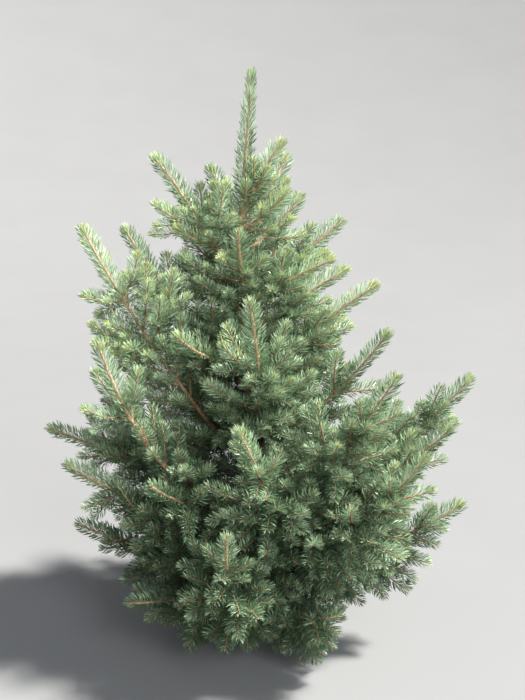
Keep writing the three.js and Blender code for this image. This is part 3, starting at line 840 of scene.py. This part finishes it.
def openness(shoot):
    """From 0 for a spray inside, near the ground, to about 1 for one far out and high up."""
    end = shoot.curve.p[2]
    out = np.linalg.norm(end[:2] - trunk_centre(end[2])[:2])
    crown = CROWN_RADIUS * np.clip((CROWN_TOP - end[2]) / CROWN_NARROWS, CROWN_LEAST, 1.0)
    height = np.clip(end[2] / OPEN_HEIGHT, 0, 1) ** OPEN_POWER
    return REACH_COUNTS * np.clip(out / crown, 0, 1) + HEIGHT_COUNTS * height


def spray_color(shoot):
    """A spray's colour: paler in the open, as painted light, and darker inside and near the ground, as
    painted shade.
    """
    # How open a spray is stands in for how much light reaches it: painted light and shade
    bright = openness(shoot) + RNG.uniform(-OPEN_UNEVEN, OPEN_UNEVEN)
    for color, least in ((SILVER, SILVER_ABOVE), (BLUE, BLUE_ABOVE), (GREEN, GREEN_ABOVE)):
        if bright > least:
            return color, bright
    return SHADE, bright


def grow_needles(shoots):
    """All needles by bough: a list of corners, faces and colours for each."""
    batches = {}

    def put(region, color, needles, paler=0.0, width=NEEDLE_WIDTH):
        corners, faces, shade = needles.arrays(width, paler)
        lightest = FRESH if color <= SILVER and paler else SILVER
        colors = np.clip(color + shade, min(color, lightest), SHADE)
        batches.setdefault(region, []).append((corners, faces, colors))

    for shoot in shoots:
        curve, order, total = shoot.curve, shoot.kind, shoot.curve.length
        region = shoot.bough[0]
        color, bright = spray_color(shoot)
        new_from = 1 - shoot.last / total
        length = NEEDLE_LENGTH[order]
        new = Needles(curve, (new_from, 1), NEW_PER_CM[order], length, NEW_LEAN[order], shoot.radii)
        put(region, color, new, PALER[order])
        old_from = max(shoot.start, OLD_FROM[min(order, 1)])
        if new_from > old_from:
            inner = min(max(old_from, INNER_UNTIL), new_from) if order == 0 else old_from
            for span, dense in (((old_from, inner), INNER_NEEDLES), ((inner, new_from), 1.0)):
                if span[1] - span[0] > LEAST_SPAN:
                    per_cm = OLD_PER_CM[order] * dense
                    old = Needles(curve, span, per_cm, length * OLD_LENGTH_SHARE, OLD_LEAN, shoot.radii)
                    put(region, min(color + 1, SHADE), old)
        if bright > TUFT_ABOVE[order]:
            span = (1 - min(TUFT[order] / total, TUFT_MOST), 1)
            lean = NEW_LEAN[order] - TUFT_LEAN_LESS
            tuft = Needles(curve, span, TUFT_PER_CM, length * TUFT_LENGTH_SHARE, lean, shoot.radii)
            put(region, FRESH, tuft, 1.0, NEEDLE_WIDTH * TUFT_WIDTH_SHARE)
    grow_leader(put)
    return batches


def grow_leader(put):
    """The needles of the trunk's top: they close up towards its tip, and don't below the leader."""
    middle = trunk_centre((TOP_WHORL + HEIGHT) / 2)
    leader = Curve(trunk_centre(TOP_WHORL), middle, trunk_centre(HEIGHT - LEADER_END))
    radii = (float(trunk_radius(TOP_WHORL)), TIP_RADIUS)

    def closing(share):
        return share ** LEADER_CLOSING_POWER * LEADER_CLOSING

    def level(share):
        return share * 0

    own = Needles(leader, (LEADER_FROM, 1), LEADER_PER_CM, *LEADER_OWN, radii, closing)
    put("leader", BLUE, own, LEADER_PALER)
    span = (LEADER_FROM, LEADER_OLDER_UNTIL)
    older = Needles(leader, span, LEADER_PER_CM / LEADER_OLDER_SHARE, *LEADER_OLDER, radii, closing)
    put("leader", BLUE, older)
    tuft = Needles(leader, (LEADER_TUFT_FROM, 1), LEADER_PER_CM, *LEADER_TUFT, radii)
    put("leader", FRESH, tuft, 1.0)
    elbow = trunk_centre(BELOW_LEADER_ELBOW)
    trunk = Curve(trunk_centre(BELOW_LEADER_FROM), elbow, trunk_centre(TOP_WHORL))
    length, radii = BELOW_LEADER_LENGTH, BELOW_LEADER_RADII
    put("leader", GREEN, Needles(trunk, (0, 1), BELOW_LEADER_PER_CM, length, OLD_LEAN, radii, level))


# The first words of the boughs in each piece of needles, and whether it is one piece or one a side
NEEDLE_PIECES = (
    ("top", ("top", "upper"), False),
    ("high", ("high",), False),
    ("mid", ("mid",), True),
    ("wide", ("long", "wide", "front"), True),
    ("low", ("low",), True),
    ("foot", ("foot",), True),
)


def is_left(bough):
    return 90 < bough[1] < 270


def add_needles(shoots):
    """The needle pieces. Each replaces the solids of its boughs' foliage."""
    batches = grow_needles(shoots)
    materials = [needle_material(name, color) for name, color in NEEDLE_COLORS.items()]
    total = 0
    for word, firsts, by_side in NEEDLE_PIECES:
        members = [bough for bough in BOUGHS if bough[0].split("_")[0] in firsts]
        sides = (("_left", True), ("_right", False)) if by_side else (("", None),)
        for ending, left in sides:
            chosen = [bough[0] for bough in members if left is None or is_left(bough) == left]
            nodes = ["foliage_" + name for name in chosen]
            if word == "top":
                chosen.append("leader")
                nodes.append("leader_foliage")
            parts = [part for name in chosen for part in batches[name]]
            corners, faces = joined_arrays([(c, f) for c, f, _ in parts])
            colors = np.concatenate([color for _, _, color in parts])
            total += len(faces)
            piece = mesh_object("needles_" + word + ending, corners, faces, materials, colors, smooth=False)
            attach(piece, "root")
            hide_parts(*nodes)
    print("needle faces", total, "shoots", len(shoots), "m", sum(s.curve.length for s in shoots) / 1000)


def patches(angle, height, count, step):
    """A number from -1 to 1 for each angle and height: smooth random patches round a stem."""
    rows = int(height.max() / step) + 3
    grid = RNG.uniform(-1, 1, (rows, count))
    a = (angle / (2 * math.pi) * count)[None, :]
    h = (height / step)[:, None]
    i, j = np.floor(a).astype(int), np.floor(h).astype(int)
    fa, fh = a - i, h - j
    fa, fh = fa * fa * (3 - 2 * fa), fh * fh * (3 - 2 * fh)
    low = lerp(grid[j, i % count], grid[j, (i + 1) % count], fa)
    high = lerp(grid[j + 1, i % count], grid[j + 1, (i + 1) % count], fa)
    return lerp(low, high, fh)


TRUNK_SIDES = 40
TRUNK_RING_STEP = 5.0
# Bark on the trunk by height: old and scaly, then young and smoother, then the leader's own
YOUNG_BARK_FROM = 420.0
LEADER_BARK_FROM = 900.0
# The relief of its bark, as a share of its radius, from the ground to the top by the heights above,
# and its large and small scales: how many stand round it, and how tall they are
TRUNK_RELIEF = (0.085, 0.06, 0.05, 0.08)
LARGE_SCALES = (13, 26)
SMALL_SCALES = (22, 9)
SMALL_SCALES_SHARE = 0.5
SCALES_MEAN = 0.6
TRUNK_POINT = 2.0


def add_trunk(barks):
    """The trunk, with the bark that each height has."""
    z = np.linspace(0, TRUNK_TOP, int(TRUNK_TOP / TRUNK_RING_STEP))
    angle = np.arange(TRUNK_SIDES) * 2 * math.pi / TRUNK_SIDES
    depth = np.interp(z, (0, YOUNG_BARK_FROM, LEADER_BARK_FROM, TRUNK_TOP), TRUNK_RELIEF)[:, None]
    large = np.abs(patches(angle, z, *LARGE_SCALES))
    scales = large + SMALL_SCALES_SHARE * patches(angle, z, *SMALL_SCALES)
    radii = trunk_radius(z[:, None], angle[None, :]) * (1 + depth * (scales - SCALES_MEAN))
    along = np.tile(UP, (len(z), 1))
    corners, faces = tube_arrays(trunk_centre(z), along, radii, TRUNK_SIDES, TRUNK_POINT)
    corners[:, 2] = np.maximum(corners[:, 2], 0)
    height = corners[faces][:, :, 2].mean(1)
    indices = np.digitize(height, (YOUNG_BARK_FROM, LEADER_BARK_FROM))
    trunk = mesh_object("trunk_skin", corners, faces, barks, indices)
    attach(trunk, "root")
    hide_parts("trunk")


# Share of a bough's line past which its bare limb has young bark
YOUNG_LIMB_FROM = 0.26
LIMB_SIDES = 12
LIMB_RINGS = 26
LIMB_SPAN = (0.02, 1.06)
LIMB_POINT = 1.0
# The lumps of their bark: how deep as a share of the radius, how many round, and how long
LIMB_LUMPS = ((0.07, 7, 9), (0.05, 11, 5))


def add_limbs(barks):
    """The bare limbs, from inside the trunk to the foliage that grows on from them."""
    parts = []
    kinds = []
    nodes = []
    for name, azimuth, foot, reach, tip, bow, swing, bare in BOUGHS:
        if not bare:
            continue
        curve = bough_curve(azimuth, foot, reach, tip, bow, swing)
        base = YOUNG_BOUGH_RADIUS if foot > YOUNG_FROM else OLD_BOUGH_RADIUS
        share = np.linspace(*LIMB_SPAN, LIMB_RINGS)
        along = share * bare * curve.length
        radius = lerp(base, BOUGH_END_RADIUS, share) * (1 + COLLAR * np.exp(-share / COLLAR_SHARE))
        angle = np.arange(LIMB_SIDES) * 2 * math.pi / LIMB_SIDES
        relief = sum(depth * patches(angle, along, count, step) for depth, count, step in LIMB_LUMPS)
        radii = radius[:, None] * (1 + relief)
        t = share * bare
        parts.append(tube_arrays(curve.point(t), curve.tangent(t), radii, LIMB_SIDES, LIMB_POINT))
        faces = parts[-1][1]
        ring = np.minimum(faces.min(1) // LIMB_SIDES, LIMB_RINGS - 1)
        kinds.append((share[ring] * bare > YOUNG_LIMB_FROM).astype(int))
        nodes.append("bough_" + name)
    limbs = mesh_object("limbs", *joined_arrays(parts), barks, np.concatenate(kinds))
    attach(limbs, "root")
    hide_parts(*nodes)


# Side twigs of sprays less open than this have the darkest twig bark, as painted shade inside and near the
# ground
PAINTED_SHADE_BELOW = 0.66
# Twigs by order: how far apart their rings are, and how many sides they have
TWIG_RINGS = ((8.0, 7), (11.0, 5), (15.0, 3), (15.0, 3))
LEAST_RINGS = 4
SWELLING = 0.35
SWELLS_WITHIN = 6.0
TWIG_END_SHARE = 0.8
TWIG_RIDGES = 0.13
TWIG_POINT = 3.0


def add_twigs(shoots, barks):
    """All twigs in one piece, ridged where needles stand, with a little swelling at each root."""
    parts = []
    kinds = []
    for shoot in shoots:
        curve = shoot.curve
        step, sides = TWIG_RINGS[shoot.kind]
        span = curve.length * (1 - shoot.start)
        rings = max(LEAST_RINGS, int(span / step))
        share = np.linspace(0, 1, rings)
        t = curve.at(lerp(shoot.start, 1, share))
        foot_radius = BOUGH_END_RADIUS if shoot.start else shoot.radii[0]
        swelling = 0.0 if shoot.start else SWELLING
        swell = 1 + swelling * np.exp(-share * span / SWELLS_WITHIN)
        radius = lerp(foot_radius, shoot.radii[1] * TWIG_END_SHARE, share) * swell
        radii = radius[:, None] * (1 + RNG.uniform(-TWIG_RIDGES, TWIG_RIDGES, (rings, sides)))
        parts.append(tube_arrays(curve.point(t), curve.tangent(t), radii, sides, TWIG_POINT))
        # Side twigs of sprays inside and near the ground take the darker bark: painted shade
        painted_shade = 1 if shoot.order and openness(shoot) < PAINTED_SHADE_BELOW else 0
        kinds.append(np.full(len(parts[-1][1]), min(shoot.order + painted_shade, len(barks) - 1)))
    corners, faces = joined_arrays(parts)
    twigs = mesh_object("twigs", corners, faces, barks, np.concatenate(kinds))
    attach(twigs, "root")


# A bud's outline: places along it from the shoot's end, with its radius there
BUD_PROFILE = ((-2.0, 1.0), (0.5, 2.1), (3.0, 2.2), (5.5, 1.3), (7.0, 0.5))
BUD_SIDES = 6
BUD_POINT = 1.2
SIDE_BUD_SIZE = 0.75


def add_buds(shoots, material):
    """A small pointed bud at the end of each bough and side shoot."""
    parts = []
    for shoot in shoots:
        if shoot.order > 1:
            continue
        end, along = shoot.curve.p[2], shoot.curve.tangent(1.0)
        size = 1.0 if shoot.order == 0 else SIDE_BUD_SIZE
        points = [end + along * step * size for step, _ in BUD_PROFILE]
        radii = [radius * size for _, radius in BUD_PROFILE]
        parts.append(tube_arrays(points, np.tile(along, (len(points), 1)), radii, BUD_SIDES, BUD_POINT))
    buds = mesh_object("buds", *joined_arrays(parts), [material])
    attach(buds, "root")


def add_light(name, place, aim, size, power, color):
    data = bpy.data.lights.new(name, "AREA")
    data.size = size
    data.energy = power
    data.color = color
    lamp = bpy.data.objects.new(name, data)
    lamp.location = place
    lamp.rotation_euler = (Vector(aim) - Vector(place)).to_track_quat("-Z", "Y").to_euler()
    bpy.context.scene.collection.objects.link(lamp)


# Studio: where the key light comes from, its power, its width in degrees and its colour
KEY_FROM = (0.95, -0.12, 1.45)
KEY_POWER = 8.4
KEY_WIDTH = 8.0
KEY_COLOR = (1.0, 0.965, 0.9)
# A soft light from the front right: its place, what it points at, its size, power and colour
FILL = ((1.6, -3.4, 2.4), (0, 0, 0.7), 1.6, 85, (0.97, 0.99, 1.0))
# The world's colours, and the share of the way up at which it has the second
HORIZON = (0.385, 0.39, 0.395)
ZENITH = (0.235, 0.245, 0.265)
ZENITH_FROM = 0.6
# The camera: 2 m in front of the tree and a little to the right, where the photo was taken
CAMERA_PLACE = (0.024, -2.04, 1.154)
CAMERA_TILT = 76.5
CAMERA_LENS = 49.94
CAMERA_SENSOR = 36
# Floor: a wide shallow bowl, flat round the tree, so that no horizon shows
FLOOR_FLAT = 3.5
FLOOR_RADIUS = 12.0
FLOOR_RISE = 4.2
FLOOR_RINGS = 40
FLOOR_SIDES = 96
FLOOR_COLORS = ((0.262, 0.268, 0.278), (0.272, 0.278, 0.288))
FLOOR_PATCHES = 2
FLOOR_ROUGH = 0.95


def bowl(name, material):
    """A floor that is flat in the middle and curves up all round, in millimetres."""
    radii = np.concatenate([[0.5 * FLOOR_FLAT], np.linspace(FLOOR_FLAT, FLOOR_RADIUS, FLOOR_RINGS)]) / MM
    out = np.clip((radii * MM - FLOOR_FLAT) / (FLOOR_RADIUS - FLOOR_FLAT), 0, 1)
    heights = FLOOR_RISE / MM * out ** 2
    angle = np.arange(FLOOR_SIDES) * 2 * math.pi / FLOOR_SIDES
    rings = np.stack([radii[:, None] * np.cos(angle), radii[:, None] * np.sin(angle),
                      np.repeat(heights[:, None], FLOOR_SIDES, 1)], -1)
    corners = np.concatenate([rings.reshape(-1, 3), [[0.0, 0.0, 0.0]]])
    j, i = np.meshgrid(np.arange(len(radii) - 1), np.arange(FLOOR_SIDES), indexing="ij")
    a = (j * FLOOR_SIDES + i).ravel()
    b = (j * FLOOR_SIDES + (i + 1) % FLOOR_SIDES).ravel()
    i = np.arange(FLOOR_SIDES)
    middle = np.stack([np.full(FLOOR_SIDES, len(corners) - 1), i, (i + 1) % FLOOR_SIDES], 1)
    walls = [np.stack([a, a + FLOOR_SIDES, b + FLOOR_SIDES], 1), np.stack([a, b + FLOOR_SIDES, b], 1)]
    return mesh_object(name, corners, np.concatenate(walls + [middle]), [material])


def add_studio():
    """A pale floor, soft light and the camera."""
    floor_material = bark_material("floor", *FLOOR_COLORS, FLOOR_PATCHES, FLOOR_ROUGH, 0.0)
    bowl("floor", floor_material)
    key = bpy.data.lights.new("key", "SUN")
    key.energy = KEY_POWER
    key.angle = math.radians(KEY_WIDTH)
    key.color = KEY_COLOR
    holder = bpy.data.objects.new("key", key)
    holder.rotation_euler = Vector(KEY_FROM).to_track_quat("Z", "Y").to_euler()
    bpy.context.scene.collection.objects.link(holder)
    add_light("fill", *FILL)
    world = bpy.data.worlds.new("world")
    world.use_nodes = True
    nodes, links = world.node_tree.nodes, world.node_tree.links
    background = nodes["Background"]
    place = nodes.new("ShaderNodeTexCoord")
    axes = nodes.new("ShaderNodeSeparateXYZ")
    ramp = nodes.new("ShaderNodeValToRGB")
    ramp.color_ramp.elements[0].position = 0.0
    ramp.color_ramp.elements[1].position = ZENITH_FROM
    ramp.color_ramp.elements[0].color = (*HORIZON, 1)
    ramp.color_ramp.elements[1].color = (*ZENITH, 1)
    links.new(place.outputs["Generated"], axes.inputs["Vector"])
    links.new(axes.outputs["Z"], ramp.inputs["Fac"])
    links.new(ramp.outputs["Color"], background.inputs["Color"])
    bpy.context.scene.world = world
    bpy.context.scene.view_settings.view_transform = "Standard"

    camera = bpy.data.cameras.new("camera")
    camera.lens = CAMERA_LENS
    camera.sensor_width = CAMERA_SENSOR
    holder = bpy.data.objects.new("camera", camera)
    holder.location = CAMERA_PLACE
    holder.rotation_euler = (math.radians(CAMERA_TILT), 0, 0)
    bpy.context.scene.collection.objects.link(holder)
    bpy.context.scene.camera = holder


# Bark by name: its darkest and its lightest colour, and how fine its pattern is
BARKS = {
    "twig_bark": ((0.30, 0.175, 0.085), (0.66, 0.50, 0.29), 170),
    "side_bark": ((0.25, 0.145, 0.075), (0.50, 0.35, 0.20), 170),
    "fine_bark": ((0.17, 0.12, 0.065), (0.33, 0.25, 0.145), 170),
    "limb_bark": ((0.13, 0.08, 0.05), (0.32, 0.21, 0.13), 80),
    "trunk_bark": ((0.09, 0.07, 0.055), (0.27, 0.21, 0.16), 60),
    "bud_scales": ((0.30, 0.16, 0.07), (0.50, 0.32, 0.16), 300),
}


def main():
    barks = {name: bark_material(name, *values) for name, values in BARKS.items()}
    shoots = grow_tree()
    add_needles(shoots)
    add_trunk([barks["trunk_bark"], barks["limb_bark"], barks["twig_bark"]])
    add_limbs([barks["limb_bark"], barks["side_bark"]])
    add_twigs(shoots, [barks["twig_bark"], barks["side_bark"], barks["fine_bark"]])
    add_buds(shoots, barks["bud_scales"])
    add_studio()


main()
